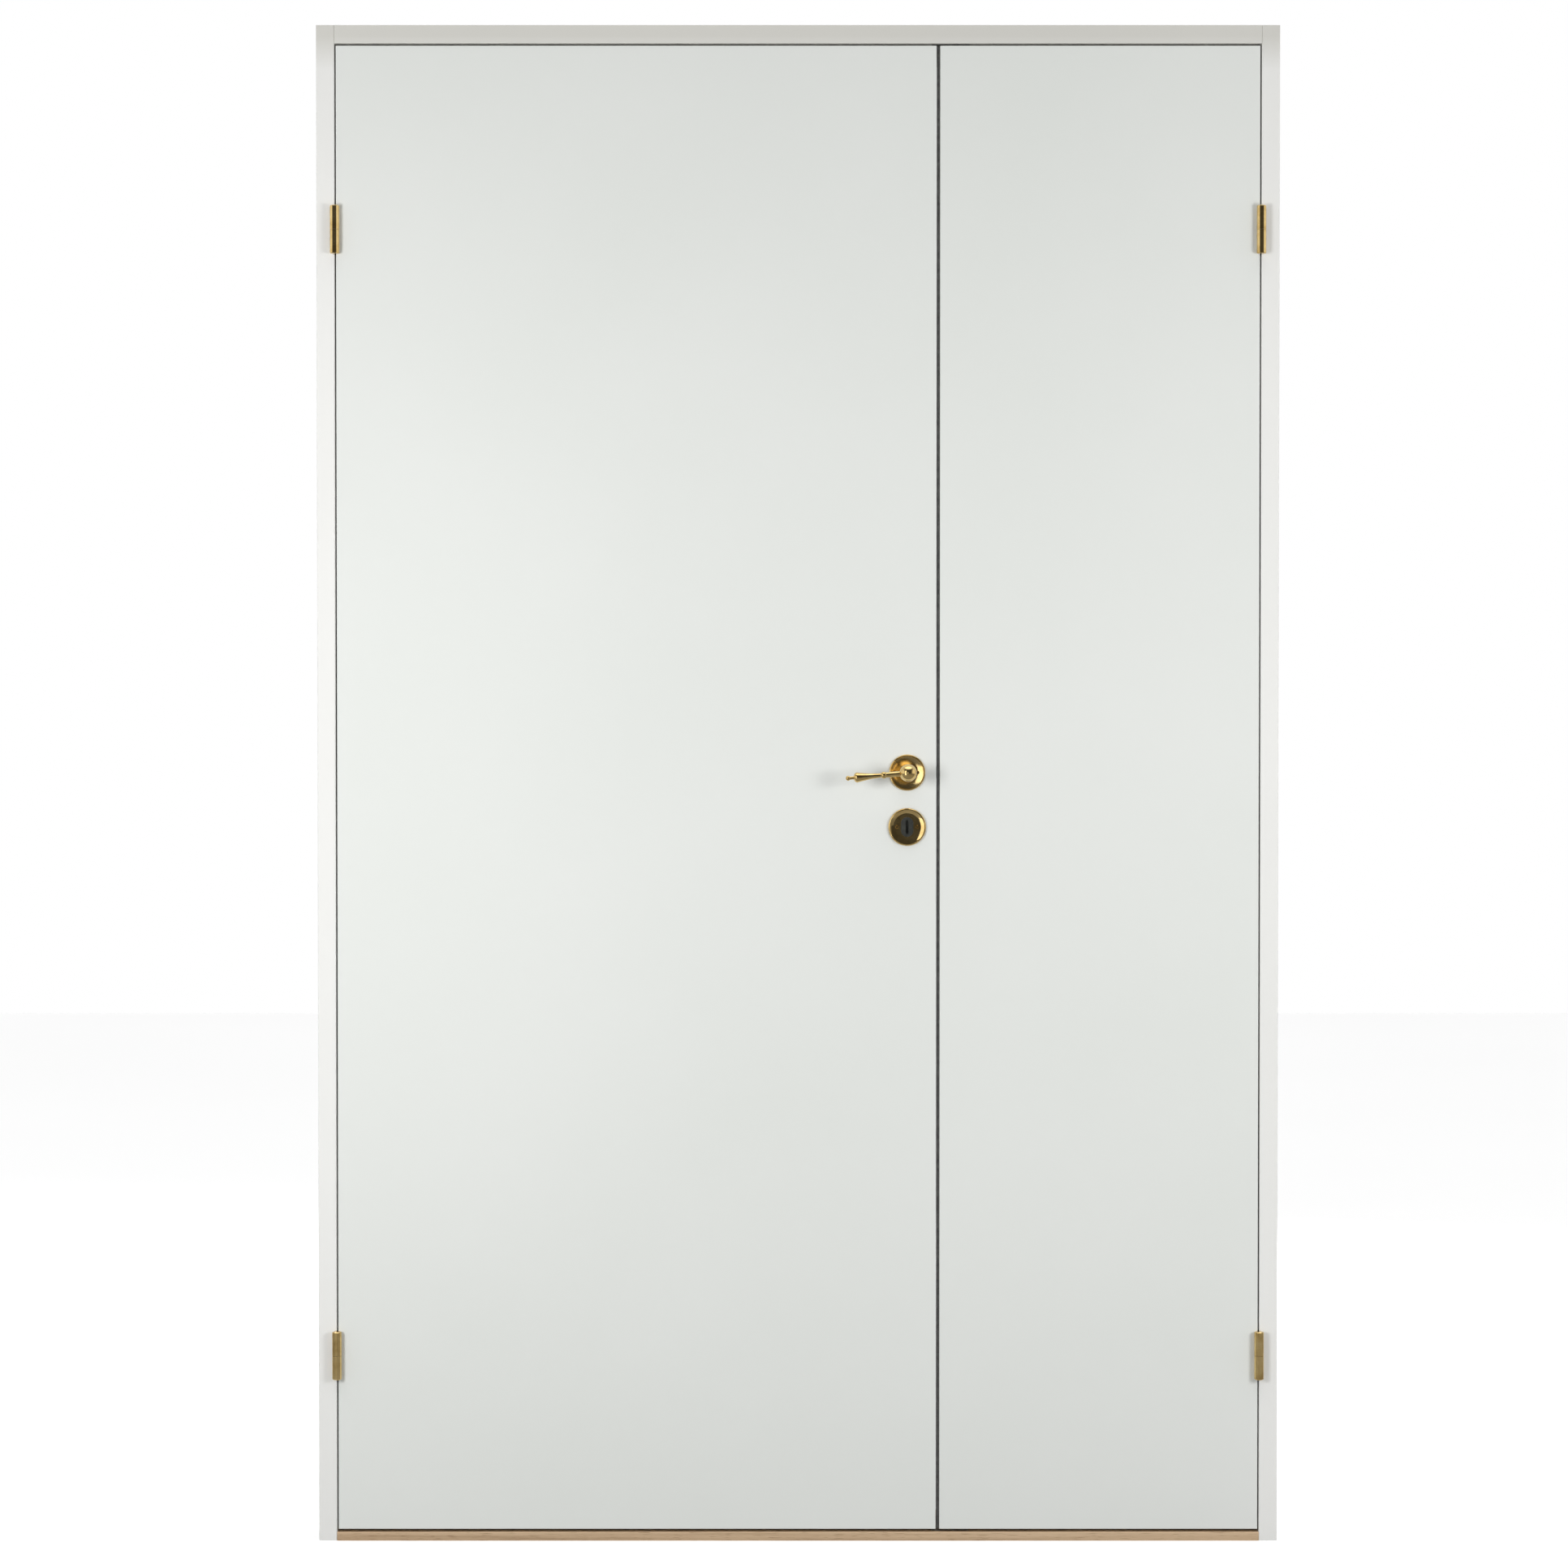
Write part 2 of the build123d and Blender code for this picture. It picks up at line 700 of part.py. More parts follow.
with BuildPart() as meeting_seal:
    blade_reach = meeting_gap - blade_touch_gap
    blade_plane = Plane(origin=(passive_edge_x, blade_y, leaf_bottom), x_dir=(-1, 0, 0), z_dir=(0, 0, 1))
    with BuildSketch(blade_plane):
        with Locations((-seal_groove_depth / 2 + fit / 2, 0)):
            Rectangle(seal_groove_depth - fit, seal_groove_width - 2 * fit)
        with Locations((blade_reach / 2, 0)):
            RectangleRounded(blade_reach, blade_width, blade_width / 4)
    extrude(amount=leaf_top - leaf_bottom)
save(meeting_seal.part, "meeting_seal")

# The lock: a case with a lid, a follower that draws the latch, and a bolt for the key
with BuildPart() as lock_case:
    block((case_rear_x, case_front_x), (cover_y, case_y[1]), case_z)
    inner_z = widened(case_z, -case_wall)
    block((case_rear_x + case_wall, case_front_x), (cover_y, case_floor_y), inner_z, Mode.SUBTRACT)
    post_foot = (guide_post_x, case_floor_y, guide_post_z)
    bore(post_foot, (0, -1, 0), guide_post_radius, case_floor_y - cover_y, Mode.ADD)
    bearing_start = (handle_x, front, handle_height)
    bore(bearing_start, (0, 1, 0), follower_bearing_radius + fit, leaf_thickness)
    key_slot(key_passage_width, key_passage_height)
save(lock_case.part, "lock_case")

with BuildPart() as lock_cover:
    block((case_rear_x, case_front_x), (case_y[0], cover_y), case_z)
    bore(bearing_start, (0, 1, 0), follower_bearing_radius + fit, leaf_thickness)
    key_slot(key_passage_width, key_passage_height)
save(lock_cover.part, "lock_cover")


def edge_plate(face_x, back_x, z_span, openings, places):
    """A forend or strike plate with rounded corners, bolt openings and countersunk holes."""
    with BuildPart() as plate:
        block((face_x, back_x), forend_y, z_span)
        fillet(plate.edges().filter_by(Axis.X), abs(back_x - face_x))
        for y_span, opening_z in openings:
            block((face_x, back_x), y_span, opening_z, Mode.SUBTRACT)
        pilot_holes(places, small_screw)
    return plate.part


forend_openings = (
    (widened(latch_y, slide_fit), widened(latch_z, slide_fit)),
    (widened(bolt_y, slide_fit), widened(bolt_z, slide_fit)),
)
save(
    edge_plate(active_edge_x, case_front_x, forend_z, forend_openings, forend_screw_places),
    "lock_forend",
)
save(
    edge_plate(passive_edge_x, strike_back_x, strike_z, strike_openings, strike_screw_places),
    "strike_plate",
)

with BuildPart() as forend_screws:
    countersunk_screws(forend_screw_places, small_screw)
save(forend_screws.part, "forend_screws")

with BuildPart() as strike_screws:
    countersunk_screws(strike_screw_places, small_screw)
save(strike_screws.part, "strike_screws")

with BuildPart() as lock_follower:
    inner_gap = widened((cover_y, case_floor_y), -fit)
    hub_foot = (handle_x, inner_gap[0], handle_height)
    bore(hub_foot, (0, 1, 0), follower_radius, inner_gap[1] - inner_gap[0], Mode.ADD)
    arm_x = (handle_x - follower_arm_half_width, handle_x + follower_arm_half_width)
    arm_y = (cover_y + fit, cover_y + fit + follower_arm_thickness)
    block(arm_x, arm_y, (handle_height, handle_height + follower_arm_reach))
    bearing_foot = (handle_x, case_y[0], handle_height)
    bore(bearing_foot, (0, 1, 0), follower_bearing_radius, case_thickness, Mode.ADD)
    socket = spindle_size / 2 + fit
    block(
        (handle_x - socket, handle_x + socket),
        case_y,
        (handle_height - socket, handle_height + socket),
        Mode.SUBTRACT,
    )
save(lock_follower.part, "lock_follower")

with BuildPart() as latch_bolt:
    with BuildSketch(Plane.XY.offset(latch_z[0])):
        with BuildLine():
            Polyline(
                (latch_rear_x, latch_y[0]),
                (latch_tip_x, latch_y[0]),
                (latch_tip_x, latch_y[0] + latch_thickness / 4),
                (active_edge_x + slide_fit, latch_y[1]),
                (latch_rear_x, latch_y[1]),
                close=True,
            )
        make_face()
    extrude(amount=latch_height)
    tail_y = (case_floor_y - slide_fit - latch_tail_thickness, case_floor_y - slide_fit)
    tail_z = (handle_height + latch_lug_low, handle_height + latch_lug_high)
    tail_rear_x = lug_face_x - latch_lug_thickness
    block((tail_rear_x, latch_rear_x), tail_y, tail_z)
    block((latch_rear_x, latch_rear_x + latch_lug_low), tail_y, (latch_z[0], tail_z[1]))
    block((tail_rear_x, lug_face_x), (cover_y + slide_fit, tail_y[1]), tail_z)
save(latch_bolt.part, "latch_bolt")

with BuildPart() as latch_spring:
    wall_x = case_rear_x + case_wall + slide_fit
    lug_x = tail_rear_x - slide_fit
    bend_radius = (lug_x - wall_x) / 2
    spring_top = tail_z[1] - slide_fit
    spring_bend = spring_top - spring_drop
    spring_y = leaf_mid_y - spring_width / 2
    with BuildSketch(Plane.XZ.offset(-spring_y - spring_width)):
        with BuildLine() as strip_line:
            wall_leg = Line((wall_x, spring_top), (wall_x, spring_bend))
            bend_low = ((wall_x + lug_x) / 2, spring_bend - bend_radius)
            bend = ThreePointArc(wall_leg @ 1, bend_low, (lug_x, spring_bend))
            Line(bend @ 1, (lug_x, spring_top))
            offset(amount=spring_strip, side=Side.LEFT)
        make_face()
    extrude(amount=spring_width)
save(latch_spring.part, "latch_spring")

with BuildPart() as dead_bolt:
    block((bolt_tail_x, bolt_tip_x), bolt_y, bolt_z)
    chamfer(dead_bolt.faces().sort_by(Axis.X)[-1].edges(), leaf_edge_radius / 2)
    slot_half = guide_post_radius + slide_fit
    block(
        (guide_post_x - dead_bolt_throw - slot_half, guide_post_x + slot_half),
        bolt_y,
        (guide_post_z - slot_half, guide_post_z + slot_half),
        Mode.SUBTRACT,
    )
    talon_x = (handle_x - talon_width / 2, handle_x + talon_width / 2)
    block(talon_x, bolt_y, (bolt_z[0], bolt_z[0] + talon_depth), Mode.SUBTRACT)
save(dead_bolt.part, "dead_bolt")

with BuildPart() as key_ward:
    ward_half_width = key_passage_width / 2 + ward_room
    ward_x = (handle_x - ward_half_width, handle_x + ward_half_width)
    ward_y = (leaf_mid_y - ward_thickness / 2, leaf_mid_y + ward_thickness / 2)
    ward_z = (case_z[0] + case_wall, bolt_z[0] - slide_fit)
    block(ward_x, ward_y, ward_z)
    block(ward_x, (ward_y[0], case_floor_y), (ward_z[0], ward_z[0] + ward_thickness))
save(key_ward.part, "key_ward")


# The brass furniture: dished roses and keyhole plates, and turned levers
def dished_plate(centre_z, hole_radius, floor_radius, outer_radius, crest):
    """A round plate with a raised rim and a sunk floor, turned about the Y axis."""
    turning = Plane(origin=(handle_x, front, centre_z), x_dir=(1, 0, 0), z_dir=(0, 0, -1))
    crest_radius = outer_radius - rose_rim
    with BuildSketch(turning) as section:
        with BuildLine():
            base = Line((hole_radius, 0), (outer_radius, 0))
            edge = Line(base @ 1, (outer_radius, rose_edge))
            rim = TangentArc(edge @ 1, (crest_radius, crest), tangent=(0, 1))
            slope_mid = (
                (crest_radius + floor_radius) / 2,
                (crest + rose_floor) / 2 - rose_dish_hollow,
            )
            dish = ThreePointArc(rim @ 1, slope_mid, (floor_radius, rose_floor))
            floor = Line(dish @ 1, (hole_radius, rose_floor))
            Line(floor @ 1, base @ 0)
        make_face()
    revolve(section.sketch, axis=Axis((handle_x, front, centre_z), (0, 1, 0)))


def screw_seats(centre_z):
    """Flat seats, sunk in the slope of a plate, for the heads of its screws."""
    up = (Align.CENTER, Align.CENTER, Align.MIN)
    with Locations(*plate_screw_places(centre_z)):
        Cylinder(plate_screw[1] + turn_fit, rose_crest, align=up, mode=Mode.SUBTRACT)


with BuildPart() as front_rose:
    rose_hole = sleeve_radius + turn_fit
    dished_plate(handle_height, rose_hole, rose_floor_radius, rose_radius, rose_crest)
    plate_screw_holes(handle_height)
    screw_seats(handle_height)
save(front_rose.part, "front_rose")

with BuildPart() as back_rose:
    mirror(front_rose.part, about=leaf_middle)
save(back_rose.part, "back_rose")

with BuildPart() as front_key_plate:
    dished_plate(key_z, 0, key_floor_radius, key_plate_radius, key_crest)
    key_slot(liner_width + 2 * fit, liner_height + 2 * fit)
    plate_screw_holes(key_z)
save(front_key_plate.part, "front_key_plate")

with BuildPart() as back_key_plate:
    mirror(front_key_plate.part, about=leaf_middle)
save(back_key_plate.part, "back_key_plate")

with BuildPart() as front_key_liner:
    with BuildSketch(Plane.XZ.offset(-front)):
        with Locations((handle_x, key_z)):
            SlotOverall(liner_height, liner_width, rotation=90)
    extrude(amount=rose_floor + liner_proud)
    chamfer(front_key_liner.faces().sort_by(Axis.Y)[0].edges(), liner_proud / 2)
    key_slot(keyhole_width, keyhole_height)
save(front_key_liner.part, "front_key_liner")

with BuildPart() as back_key_liner:
    mirror(front_key_liner.part, about=leaf_middle)
save(back_key_liner.part, "back_key_liner")


def domed_screws(places):
    """Slotted round-head screws that sit on the floor of a plate."""
    radius, head_radius, length = plate_screw
    down = (Align.CENTER, Align.CENTER, Align.MAX)
    up = (Align.CENTER, Align.CENTER, Align.MIN)
    with Locations(*places):
        Cylinder(radius, length + rose_floor, align=down)
        Cone(head_radius, head_radius - plate_screw_dome / 2, plate_screw_dome, align=up)
    slots = [place.offset(plate_screw_dome) for place in places]
    with Locations(*slots):
        Box(screw_slot_width, 2 * head_radius, screw_slot_depth, align=down, mode=Mode.SUBTRACT)


with BuildPart() as rose_screws:
    domed_screws(plate_screw_places(handle_height))
save(rose_screws.part, "rose_screws")

with BuildPart() as key_plate_screws:
    domed_screws(plate_screw_places(key_z))
save(key_plate_screws.part, "key_plate_screws")

with BuildPart() as front_lever:
    hub_plane = Plane(origin=(handle_x, front, handle_height), x_dir=(1, 0, 0), z_dir=(0, 0, -1))
    ball_start = hub_ball_out - sqrt(hub_ball_radius**2 - hub_neck_radius**2)
    bead_start = sleeve_length - 2 * sleeve_bead
    with BuildSketch(hub_plane):
        with BuildLine():
            foot = Line((0, -sleeve_inset), (sleeve_radius, -sleeve_inset))
            sleeve = Line(foot @ 1, (sleeve_radius, bead_start))
            bead_crest = (sleeve_radius + sleeve_bead, bead_start + sleeve_bead)
            bead = ThreePointArc(sleeve @ 1, bead_crest, (sleeve_radius, sleeve_length))
            neck_mid = (hub_neck_radius - hub_neck_cove, (sleeve_length + ball_start) / 2)
            neck = ThreePointArc(bead @ 1, neck_mid, (hub_neck_radius, ball_start))
            ball_side = (hub_ball_radius, hub_ball_out)
            ball = ThreePointArc(neck @ 1, ball_side, (0, hub_ball_out + hub_ball_radius))
            Line(ball @ 1, foot @ 0)
        make_face()
    revolve(axis=Axis(hub_plane.origin, (0, 1, 0)))

    arm_way = (-cos(radians(arm_droop)), 0, -sin(radians(arm_droop)))
    arm_start = (handle_x, front - hub_ball_out, handle_height)
    arm_plane = Plane(origin=arm_start, x_dir=arm_way, z_dir=(0, -1, 0))
    tip_start = arm_tip_at - sqrt(arm_tip_radius**2 - arm_tip_neck_radius**2)
    with BuildSketch(arm_plane):
        with BuildLine():
            root = Line((0, 0), (0, arm_neck_radius))
            stem = Line(root @ 1, (arm_bead_at - arm_bead_length / 2, arm_neck_radius))
            collar_end = (arm_bead_at + arm_bead_length / 2, arm_waist_radius)
            collar = ThreePointArc(stem @ 1, (arm_bead_at, arm_bead_radius), collar_end)
            grip_mid = (
                (collar_end[0] + arm_grip_end) / 2,
                (arm_waist_radius + arm_grip_radius) / 2 - arm_grip_hollow,
            )
            grip = ThreePointArc(collar @ 1, grip_mid, (arm_grip_end, arm_grip_radius))
            shoulder_end = (arm_grip_end + arm_shoulder, arm_tip_neck_radius)
            shoulder = TangentArc(grip @ 1, shoulder_end, tangent=(1, 0))
            tip_neck = Line(shoulder @ 1, (tip_start, arm_tip_neck_radius))
            tip_side = (arm_tip_at, arm_tip_radius)
            tip = ThreePointArc(tip_neck @ 1, tip_side, (arm_tip_at + arm_tip_radius, 0))
            Line(tip @ 1, root @ 0)
        make_face()
    revolve(axis=Axis(arm_plane.origin, arm_way))

    socket = spindle_size / 2 + fit
    block(
        (handle_x - socket, handle_x + socket),
        (front + sleeve_inset, front - socket_depth),
        (handle_height - socket, handle_height + socket),
        Mode.SUBTRACT,
    )
    grub_foot = (handle_x, front - grub_screw_out, handle_height - sleeve_radius)
    bore(grub_foot, (0, 0, 1), grub_screw_radius + fit, sleeve_radius)
save(front_lever.part, "front_lever")

with BuildPart() as back_lever:
    mirror(front_lever.part, about=leaf_middle)
save(back_lever.part, "back_lever")

with BuildPart() as handle_spindle:
    spindle_half = spindle_size / 2
    spindle_end = socket_depth - turn_fit
    block(
        (handle_x - spindle_half, handle_x + spindle_half),
        (front - spindle_end, leaf_back + spindle_end),
        (handle_height - spindle_half, handle_height + spindle_half),
    )
save(handle_spindle.part, "handle_spindle")

with BuildPart() as lever_grub_screws:
    grub_length = hub_neck_radius - spindle_half - fit
    for grub_y in (front - grub_screw_out, leaf_back + grub_screw_out):
        grub_top = (handle_x, grub_y, handle_height - spindle_half)
        bore(grub_top, (0, 0, -1), grub_screw_radius, grub_length, Mode.ADD)
save(lever_grub_screws.part, "lever_grub_screws")

# The flush bolts that hold the passive leaf at its top and bottom
thumb_half = thumb_length / 2
thumb_slot_z = (flush_plate_z - thumb_half - slide_fit, flush_plate_z + thumb_half + flush_throw + slide_fit)

with BuildPart() as top_flush_bolt_plate:
    plate_plane = Plane(
        origin=(passive_edge_x, leaf_mid_y, flush_plate_z), x_dir=(0, 0, 1), z_dir=(1, 0, 0)
    )
    with BuildSketch(plate_plane):
        RectangleRounded(flush_plate_length, flush_plate_width, flush_plate_thickness)
    extrude(amount=flush_plate_thickness)
    slot_y = widened((leaf_mid_y, leaf_mid_y), thumb_width / 2 + slide_fit)
    block((passive_edge_x, flush_back_x), slot_y, thumb_slot_z, Mode.SUBTRACT)
    pilot_holes(flush_screw_places(flush_plate_z), small_screw)
save(top_flush_bolt_plate.part, "top_flush_bolt_plate")

with BuildPart() as bottom_flush_bolt_plate:
    mirror(top_flush_bolt_plate.part, about=leaf_waist)
save(bottom_flush_bolt_plate.part, "bottom_flush_bolt_plate")

with BuildPart() as top_flush_bolt:
    rod_foot = (flush_rod_x, leaf_mid_y, flush_plate_z - flush_rod_tail)
    bore(rod_foot, (0, 0, 1), flush_rod_radius, flush_rod_top - rod_foot[2], Mode.ADD)
    chamfer(top_flush_bolt.faces().sort_by(Axis.Z)[-1].edges(), flush_end_recess)
    thumb_y = widened((leaf_mid_y, leaf_mid_y), thumb_width / 2)
    thumb_z = (flush_plate_z - thumb_half, flush_plate_z + thumb_half)
    block((passive_edge_x + thumb_recess, flush_rod_x), thumb_y, thumb_z)
    groove_pitch = thumb_length / 4
    for step in (-1, 0, 1):
        groove_mid = flush_plate_z + step * groove_pitch
        groove_z = widened((groove_mid, groove_mid), thumb_groove)
        groove_x = (passive_edge_x + thumb_recess, passive_edge_x + thumb_recess + thumb_groove)
        block(groove_x, thumb_y, groove_z, Mode.SUBTRACT)
save(top_flush_bolt.part, "top_flush_bolt")

with BuildPart() as bottom_flush_bolt:
    mirror(top_flush_bolt.part, about=leaf_waist)
save(bottom_flush_bolt.part, "bottom_flush_bolt")

with BuildPart() as flush_bolt_screws:
    for z_mid, toward_end, leaf_end in flush_bolts:
        countersunk_screws(flush_screw_places(z_mid), small_screw)
save(flush_bolt_screws.part, "flush_bolt_screws")
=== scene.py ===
# %% [markdown]
# # An interior double door in its frame
# The object is a flush pair of unequal leaves: a wide one that is used every day, and a narrow one that is
# bolted shut. Both are painted white and hang on brass lift-off hinges in a slim painted frame with an oak
# threshold. The solids come from the CAD model. This script gives them their finishes, makes the one spring
# that has to bend, and sets up a studio like the one in the photograph.

# %% Load the solids
import math

import bpy
import numpy as np
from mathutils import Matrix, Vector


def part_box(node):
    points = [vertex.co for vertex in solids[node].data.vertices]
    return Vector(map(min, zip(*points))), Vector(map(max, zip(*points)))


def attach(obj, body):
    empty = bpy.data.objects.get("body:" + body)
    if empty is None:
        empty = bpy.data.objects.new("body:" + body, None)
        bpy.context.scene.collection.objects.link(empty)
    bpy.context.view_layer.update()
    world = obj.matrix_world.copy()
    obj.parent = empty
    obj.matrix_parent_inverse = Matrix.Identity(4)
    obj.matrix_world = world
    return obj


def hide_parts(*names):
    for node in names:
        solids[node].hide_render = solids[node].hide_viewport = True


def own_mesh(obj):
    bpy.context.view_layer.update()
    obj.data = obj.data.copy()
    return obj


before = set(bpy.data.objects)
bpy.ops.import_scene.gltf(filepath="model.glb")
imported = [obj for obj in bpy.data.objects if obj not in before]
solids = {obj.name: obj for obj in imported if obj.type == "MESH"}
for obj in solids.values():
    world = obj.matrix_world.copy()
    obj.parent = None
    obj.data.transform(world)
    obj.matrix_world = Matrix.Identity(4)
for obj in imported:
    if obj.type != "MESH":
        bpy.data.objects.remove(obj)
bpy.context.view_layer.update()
front_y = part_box("active_front_skin")[0].y
door_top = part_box("left_jamb")[1].z
door_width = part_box("right_jamb")[1].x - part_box("left_jamb")[0].x
print(f"{len(solids)} solids, a door {door_width:.3f} m wide and {door_top:.3f} m high")

# %% [markdown]
# ## Small helpers for materials
# Every finish is one Principled BSDF fed by a few texture nodes. The helpers below keep the code of each
# finish short: they make the material, add nodes with their settings, map a value to colours, feed the
# shader and paint the solids. All patterns read Object coordinates, which are metres in the door's own
# frame.

# %% Material helpers
def new_finish(name):
    """A material whose node tree holds a Principled BSDF; returns the material, the tree and the shader."""
    finish = bpy.data.materials.new(name)
    finish.use_nodes = True
    return finish, finish.node_tree, finish.node_tree.nodes["Principled BSDF"]


def add_node(tree, kind, **inputs):
    """Add a node and set its inputs by name; an input given as a socket is linked instead."""
    node = tree.nodes.new(kind)
    for name, value in inputs.items():
        socket = node.inputs[name.replace("_", " ")]
        if isinstance(value, bpy.types.NodeSocket):
            tree.links.new(value, socket)
        else:
            socket.default_value = value
    return node


def place_on_door(tree):
    """Where a point of the surface lies, in metres."""
    return add_node(tree, "ShaderNodeTexCoord").outputs["Object"]


def stretched(tree, vector, scale):
    """The position scaled along each axis, so that a pattern is drawn out along the others."""
    mapping = add_node(tree, "ShaderNodeMapping", Vector=vector, Scale=scale)
    return mapping.outputs["Vector"]


def noise(tree, vector, scale, detail=3.0, rough=0.5):
    """Smooth noise from 0 to 1 with the given number of waves to the metre."""
    node = add_node(tree, "ShaderNodeTexNoise", Vector=vector, Scale=scale, Detail=detail, Roughness=rough)
    return node.outputs["Fac"]


def ranged(tree, value, low, high, new_low, new_high):
    """A value carried from one range to another and held inside it."""
    node = tree.nodes.new("ShaderNodeMapRange")
    tree.links.new(value, node.inputs["Value"])
    names = ("From Min", "From Max", "To Min", "To Max")
    for name, number in zip(names, (low, high, new_low, new_high)):
        node.inputs[name].default_value = number
    return node.outputs["Result"]


def combined(tree, operation, first, second):
    """Two values added, subtracted or multiplied."""
    node = tree.nodes.new("ShaderNodeMath")
    node.operation = operation
    for socket, value in zip(node.inputs, (first, second)):
        if isinstance(value, bpy.types.NodeSocket):
            tree.links.new(value, socket)
        else:
            socket.default_value = value
    return node.outputs["Value"]


def coloured(tree, value, *stops):
    """A value from 0 to 1 turned into colours; each stop is a place and a colour."""
    node = tree.nodes.new("ShaderNodeValToRGB")
    tree.links.new(value, node.inputs["Fac"])
    ramp = node.color_ramp
    while len(ramp.elements) < len(stops):
        ramp.elements.new(1.0)
    for element, (place, colour) in zip(ramp.elements, stops):
        element.position = place
        element.color = (*colour, 1.0)
    return node.outputs["Color"]


def feed(tree, shader, colour, roughness):
    """Link a colour and a roughness to the shader."""
    tree.links.new(colour, shader.inputs["Base Color"])
    tree.links.new(roughness, shader.inputs["Roughness"])


def relief(tree, shader, height, depth):
    """Small relief on a surface: the height, from 0 to 1, times a depth in metres."""
    bump = add_node(tree, "ShaderNodeBump", Height=height, Distance=depth)
    tree.links.new(bump.outputs["Normal"], shader.inputs["Normal"])


def dress(finish, *names):
    """Give a finish to the named solids."""
    for name in names:
        solids[name].material_slots[0].material = finish
    print(f"{finish.name}: {len(names)} solids")


# %% [markdown]
# ## Groups shared by several finishes
# Painted boards and polished metal each turn up in more than one finish here. A node group holds an effect
# once, with named inputs, and every finish places it with its own numbers. The first group is the skin that
# a paint roller leaves: a fine stipple, slow waves in the board below and very faint patches in tone. The
# second is what hands and cloths do to metal: fine scratches drawn out one way and broad smears.

# %% Node groups
usual_low, usual_high = 0.3, 0.7  # most of a noise lies between these


def new_group(name, inputs, outputs):
    """A shader node group with a Position input, number inputs with defaults, and number outputs."""
    group = bpy.data.node_groups.new(name, "ShaderNodeTree")
    group.interface.new_socket("Position", in_out="INPUT", socket_type="NodeSocketVector")
    for label, default in inputs.items():
        socket = group.interface.new_socket(label, in_out="INPUT", socket_type="NodeSocketFloat")
        socket.default_value = default
    for label in outputs:
        group.interface.new_socket(label, in_out="OUTPUT", socket_type="NodeSocketFloat")
    return group, group.nodes.new("NodeGroupInput"), group.nodes.new("NodeGroupOutput")


def placed(tree, group, spot, **inputs):
    """Place a group in a finish."""
    node = tree.nodes.new("ShaderNodeGroup")
    node.node_tree = group
    tree.links.new(spot, node.inputs["Position"])
    for label, number in inputs.items():
        node.inputs[label.replace("_", " ")].default_value = number
    return node


def roller_skin():
    """The skin that a paint roller leaves.

    Tone is broad patches, Height is the stipple plus a little of the board's wave, and Gloss is a roughness
    that follows stipple and patches.
    """
    numbers = {"Stipple": 650.0, "Dullness": 0.42}
    board_waves = 9.0
    tone_patches = 2.3
    wave_share = 0.6
    stipple_gloss = 0.03
    patch_gloss = 0.02
    group, start, end = new_group("roller skin", numbers, ("Tone", "Height", "Gloss"))
    spot = start.outputs["Position"]
    stipple = noise(group, spot, start.outputs["Stipple"], detail=2.0)
    wave = noise(group, spot, board_waves, detail=1.0)
    patch = noise(group, spot, tone_patches)
    group.links.new(patch, end.inputs["Tone"])
    waved = combined(group, "MULTIPLY", wave, wave_share)
    group.links.new(combined(group, "ADD", stipple, waved), end.inputs["Height"])
    speck = ranged(group, stipple, usual_low, usual_high, -stipple_gloss, stipple_gloss)
    slow = ranged(group, patch, usual_low, usual_high, -patch_gloss, patch_gloss)
    gloss = combined(group, "ADD", combined(group, "ADD", speck, slow), start.outputs["Dullness"])
    group.links.new(gloss, end.inputs["Gloss"])
    return group


def handled_metal():
    """What hands and cloths leave on metal.

    Scratch is fine lines drawn out along X, Smear is broad cloudy marks, and Gloss is a roughness from both.
    """
    numbers = {"Dullness": 0.15, "Spread": 0.1}
    scratch_waves = (60.0, 900.0, 900.0)
    smear_waves = 55.0
    mark_low = 0.35
    scratch_high = 0.75
    smear_high = 0.7
    mark_share = 0.5
    group, start, end = new_group("handled metal", numbers, ("Scratch", "Smear", "Gloss"))
    spot = start.outputs["Position"]
    scratch = noise(group, stretched(group, spot, scratch_waves), 1.0, detail=4.0, rough=0.65)
    smear = noise(group, spot, smear_waves, detail=4.0, rough=0.6)
    group.links.new(scratch, end.inputs["Scratch"])
    group.links.new(smear, end.inputs["Smear"])
    lines = ranged(group, scratch, mark_low, scratch_high, 0.0, mark_share)
    clouds = ranged(group, smear, mark_low, smear_high, 0.0, mark_share)
    spread = combined(group, "MULTIPLY", combined(group, "ADD", lines, clouds), start.outputs["Spread"])
    gloss = combined(group, "ADD", spread, start.outputs["Dullness"])
    group.links.new(gloss, end.inputs["Gloss"])
    return group


roller_skin_group = roller_skin()
handled_metal_group = handled_metal()
print("groups:", roller_skin_group.name, "and", handled_metal_group.name)

# %% [markdown]
# ## White paint
# The leaves are smooth boards rolled with satin white. A perfectly flat white looks like plastic, so the
# tone drifts by a few percent over the width of a leaf and the stipple breaks up the reflections. The frame
# has the same paint on planed timber, a touch brighter, with a painted shade that greys it over the last
# centimetres below its top edge. The leaves' edges are a little duller.

# %% Paint finishes
def paint_finish(name, light, shade, stipple, dullness, depth):
    """Satin paint: a colour between light and shade by the group's Tone, with the roller's relief."""
    finish, tree, shader = new_finish(name)
    skin = placed(tree, roller_skin_group, place_on_door(tree), Stipple=stipple, Dullness=dullness)
    colour = coloured(tree, skin.outputs["Tone"], (usual_low, shade), (usual_high, light))
    feed(tree, shader, colour, skin.outputs["Gloss"])
    relief(tree, shader, skin.outputs["Height"], depth)
    return finish, tree, shader, colour


